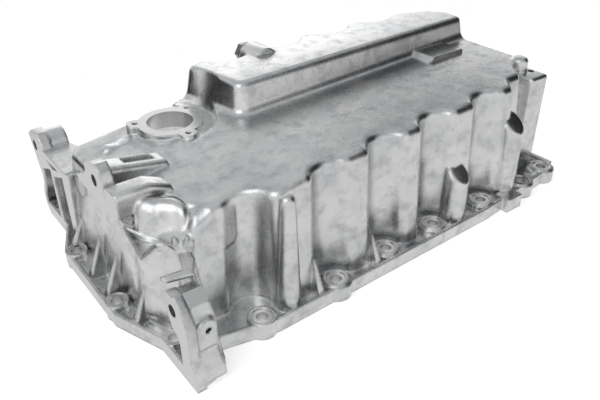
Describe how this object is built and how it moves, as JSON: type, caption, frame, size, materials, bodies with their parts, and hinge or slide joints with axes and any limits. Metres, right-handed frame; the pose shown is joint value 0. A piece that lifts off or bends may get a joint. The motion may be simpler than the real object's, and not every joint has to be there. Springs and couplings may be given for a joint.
{
  "type": "engine oil pan",
  "caption": "Cast aluminium engine oil pan with a gasket flange, a channel over each bolt, a shallow roof, a deep end, bell-housing ears and a drain plug.",
  "frame": {"origin": "on the gasket face, where the bell-housing face's plane meets the engine's centre line", "axes": "+X along the engine away from the bell housing, +Z from the gasket face towards the deep end"},
  "size_m": [0.4395, 0.278, 0.135],
  "materials": {
    "cast_aluminium": "bare die casting, with machined faces",
    "steel": "zinc plated",
    "copper_ring": "soft metal ring"
  },
  "bodies": {
    "root": {"pan_casting": "cast_aluminium", "drain_plug": "steel", "sealing_washer": "copper_ring"}
  },
  "joints": []
}
